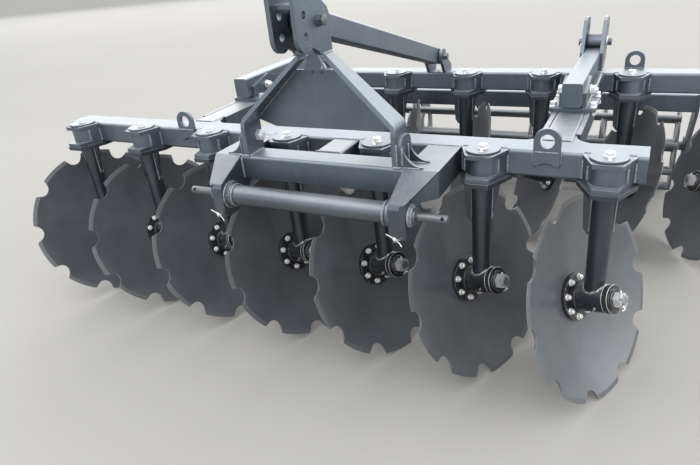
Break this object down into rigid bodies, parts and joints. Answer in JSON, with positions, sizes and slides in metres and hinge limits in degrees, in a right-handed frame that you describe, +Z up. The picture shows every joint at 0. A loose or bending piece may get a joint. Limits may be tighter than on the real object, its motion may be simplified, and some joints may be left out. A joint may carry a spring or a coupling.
{
  "type": "disc harrow",
  "caption": "Mounted short disc harrow: staggered rows of notched dished discs on single legs, square tube frame, three-point mast and cage roller; it is towed, pulled or carried.",
  "frame": {"origin": "on the ground under the middle of the outer box of the whole machine", "axes": "+X to the right as seen from the front, +Y from the hitch back to the roller, +Z up; the machine is pulled towards -Y"},
  "size_m": [2.3756, 1.9544, 1.115],
  "materials": {
    "frame_paint": "satin graphite paint over welded steel",
    "disc_steel": "satin dark paint on pressed boron steel, worn brighter on the ground bevels",
    "hub_paint": "gloss black paint on turned steel with zinc plated nuts",
    "zinc_plate": "bright zinc plate",
    "roller_paint": "satin graphite paint on round bars"
  },
  "bodies": {
    "frame": {"cross_beams": "frame_paint", "lengthwise_tubes": "frame_paint", "hitch_brackets": "frame_paint", "link_shaft": "frame_paint", "link_pins": "zinc_plate", "mast_legs": "frame_paint", "mast_plates": "frame_paint", "mast_shield": "frame_paint", "rear_brace": "frame_paint", "brace_clevis": "frame_paint", "leg_mounts": "frame_paint", "legs": "frame_paint", "lifting_eyes": "frame_paint", "roller_arms": "frame_paint"},
    "roller_carrier": {"swing_arms": "frame_paint", "roller_beam": "frame_paint", "roller_cheeks": "frame_paint"},
    "roller": {"roller_drum": "roller_paint"},
    "disc_f1_turning": {"disc_f1": "disc_steel", "hub_f1": "hub_paint"},
    "disc_f2_turning": {"disc_f2": "disc_steel", "hub_f2": "hub_paint"},
    "disc_f3_turning": {"disc_f3": "disc_steel", "hub_f3": "hub_paint"},
    "disc_f4_turning": {"disc_f4": "disc_steel", "hub_f4": "hub_paint"},
    "disc_f5_turning": {"disc_f5": "disc_steel", "hub_f5": "hub_paint"},
    "disc_f6_turning": {"disc_f6": "disc_steel", "hub_f6": "hub_paint"},
    "disc_f7_turning": {"disc_f7": "disc_steel", "hub_f7": "hub_paint"},
    "disc_r1_turning": {"disc_r1": "disc_steel", "hub_r1": "hub_paint"},
    "disc_r2_turning": {"disc_r2": "disc_steel", "hub_r2": "hub_paint"},
    "disc_r3_turning": {"disc_r3": "disc_steel", "hub_r3": "hub_paint"},
    "disc_r4_turning": {"disc_r4": "disc_steel", "hub_r4": "hub_paint"},
    "disc_r5_turning": {"disc_r5": "disc_steel", "hub_r5": "hub_paint"},
    "disc_r6_turning": {"disc_r6": "disc_steel", "hub_r6": "hub_paint"},
    "disc_r7_turning": {"disc_r7": "disc_steel", "hub_r7": "hub_paint"}
  },
  "joints": [
    {"name": "roller_swing", "type": "hinge", "parent": "frame", "child": "roller_carrier", "pos_m": [0.025, 0.227, 0.766], "axis": [1, 0, 0], "range_deg": [-5, 12]},
    {"name": "roller_spin", "type": "hinge", "parent": "roller_carrier", "child": "roller", "pos_m": [0.025, 0.772, 0.21], "axis": [1, 0, 0], "continuous": true},
    {"name": "disc_f1_spin", "type": "hinge", "parent": "frame", "child": "disc_f1_turning", "pos_m": [-1.05, -0.698, 0.26831], "axis": [0.8818, -0.3563, 0.309], "continuous": true},
    {"name": "disc_f2_spin", "type": "hinge", "parent": "frame", "child": "disc_f2_turning", "pos_m": [-0.75, -0.698, 0.26831], "axis": [0.8818, -0.3563, 0.309], "continuous": true},
    {"name": "disc_f3_spin", "type": "hinge", "parent": "frame", "child": "disc_f3_turning", "pos_m": [-0.45, -0.698, 0.26831], "axis": [0.8818, -0.3563, 0.309], "continuous": true},
    {"name": "disc_f4_spin", "type": "hinge", "parent": "frame", "child": "disc_f4_turning", "pos_m": [-0.15, -0.698, 0.26831], "axis": [0.8818, -0.3563, 0.309], "continuous": true},
    {"name": "disc_f5_spin", "type": "hinge", "parent": "frame", "child": "disc_f5_turning", "pos_m": [0.15, -0.698, 0.26831], "axis": [0.8818, -0.3563, 0.309], "continuous": true},
    {"name": "disc_f6_spin", "type": "hinge", "parent": "frame", "child": "disc_f6_turning", "pos_m": [0.45, -0.698, 0.26831], "axis": [0.8818, -0.3563, 0.309], "continuous": true},
    {"name": "disc_f7_spin", "type": "hinge", "parent": "frame", "child": "disc_f7_turning", "pos_m": [0.75, -0.698, 0.26831], "axis": [0.8818, -0.3563, 0.309], "continuous": true},
    {"name": "disc_r1_spin", "type": "hinge", "parent": "frame", "child": "disc_r1_turning", "pos_m": [-0.75, 0.175, 0.26831], "axis": [-0.8818, -0.3563, 0.309], "continuous": true},
    {"name": "disc_r2_spin", "type": "hinge", "parent": "frame", "child": "disc_r2_turning", "pos_m": [-0.45, 0.175, 0.26831], "axis": [-0.8818, -0.3563, 0.309], "continuous": true},
    {"name": "disc_r3_spin", "type": "hinge", "parent": "frame", "child": "disc_r3_turning", "pos_m": [-0.15, 0.175, 0.26831], "axis": [-0.8818, -0.3563, 0.309], "continuous": true},
    {"name": "disc_r4_spin", "type": "hinge", "parent": "frame", "child": "disc_r4_turning", "pos_m": [0.15, 0.175, 0.26831], "axis": [-0.8818, -0.3563, 0.309], "continuous": true},
    {"name": "disc_r5_spin", "type": "hinge", "parent": "frame", "child": "disc_r5_turning", "pos_m": [0.45, 0.175, 0.26831], "axis": [-0.8818, -0.3563, 0.309], "continuous": true},
    {"name": "disc_r6_spin", "type": "hinge", "parent": "frame", "child": "disc_r6_turning", "pos_m": [0.75, 0.175, 0.26831], "axis": [-0.8818, -0.3563, 0.309], "continuous": true},
    {"name": "disc_r7_spin", "type": "hinge", "parent": "frame", "child": "disc_r7_turning", "pos_m": [1.05, 0.175, 0.26831], "axis": [-0.8818, -0.3563, 0.309], "continuous": true}
  ]
}
